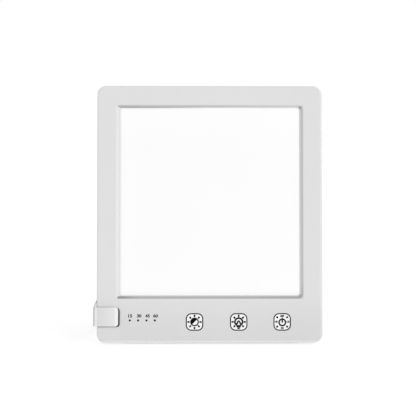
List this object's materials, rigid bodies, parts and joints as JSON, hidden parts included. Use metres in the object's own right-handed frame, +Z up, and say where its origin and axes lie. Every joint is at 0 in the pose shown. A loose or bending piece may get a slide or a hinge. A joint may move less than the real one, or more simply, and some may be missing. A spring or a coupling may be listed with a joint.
{
  "type": "light therapy lamp",
  "caption": "Slim tablet-shaped bright-light lamp with an opal window, flat touch keys and timer lights, leaning back on a clip-on fold-out leg at its lower left edge.",
  "frame": {"origin": "on the table, at the middle of the sole of the foot strip under the housing", "axes": "+X to the right as seen from the front, +Y from the lit face towards the back, +Z up; the housing leans back 6 degrees about X"},
  "size_m": [0.2033, 0.1141, 0.2287],
  "materials": {
    "shell": "fine matt moulding",
    "cover": "fine matt moulding",
    "stand": "satin moulding",
    "opal": "opal acrylic, satin",
    "film": "clear prism film",
    "guide": "clear acrylic",
    "reflector": "white sheet",
    "tray": "mill finish",
    "foam": "closed-cell foam",
    "board": "solder mask",
    "chip": "phosphor and white case",
    "component": "moulded packages",
    "lens": "smoked lens",
    "lead": "flat flexible lead",
    "inlet": "black moulding",
    "screw": "zinc plated",
    "foot": "pale silicone rubber",
    "grip": "dark rubber",
    "pin": "drawn steel"
  },
  "bodies": {
    "panel": {"front_bezel": "shell", "light_seal": "foam", "diffuser": "opal", "prism_film": "film", "light_guide": "guide", "reflector_sheet": "reflector", "back_tray": "tray", "control_board": "board", "board_parts": "component", "touch_pads": "foam", "timer_lenses": "lens", "timer_leds": "chip", "power_inlet": "inlet", "board_screw": "screw", "back_cover": "cover", "foot_strip": "foot", "cover_screws": "screw", "led_strip_left": "board", "led_chips_left": "chip", "led_lead_left": "lead", "led_strip_right": "board", "led_chips_right": "chip", "led_lead_right": "lead"},
    "clip": {"stand_clip": "stand", "front_grip_pad": "grip", "rear_grip_pad": "grip", "hinge_pin": "pin"},
    "leg": {"stand_leg": "stand", "leg_foot_pad": "foot"}
  },
  "joints": [
    {"name": "clip_pull", "type": "slide", "parent": "panel", "child": "clip", "axis": [-1, 0, 0], "range_m": [0, 0.03]},
    {"name": "leg_fold", "type": "hinge", "parent": "clip", "child": "leg", "pos_m": [-0.1008, 0.01219, 0.02268], "axis": [0, -0.1045, -0.9945], "range_deg": [0, 90]}
  ]
}
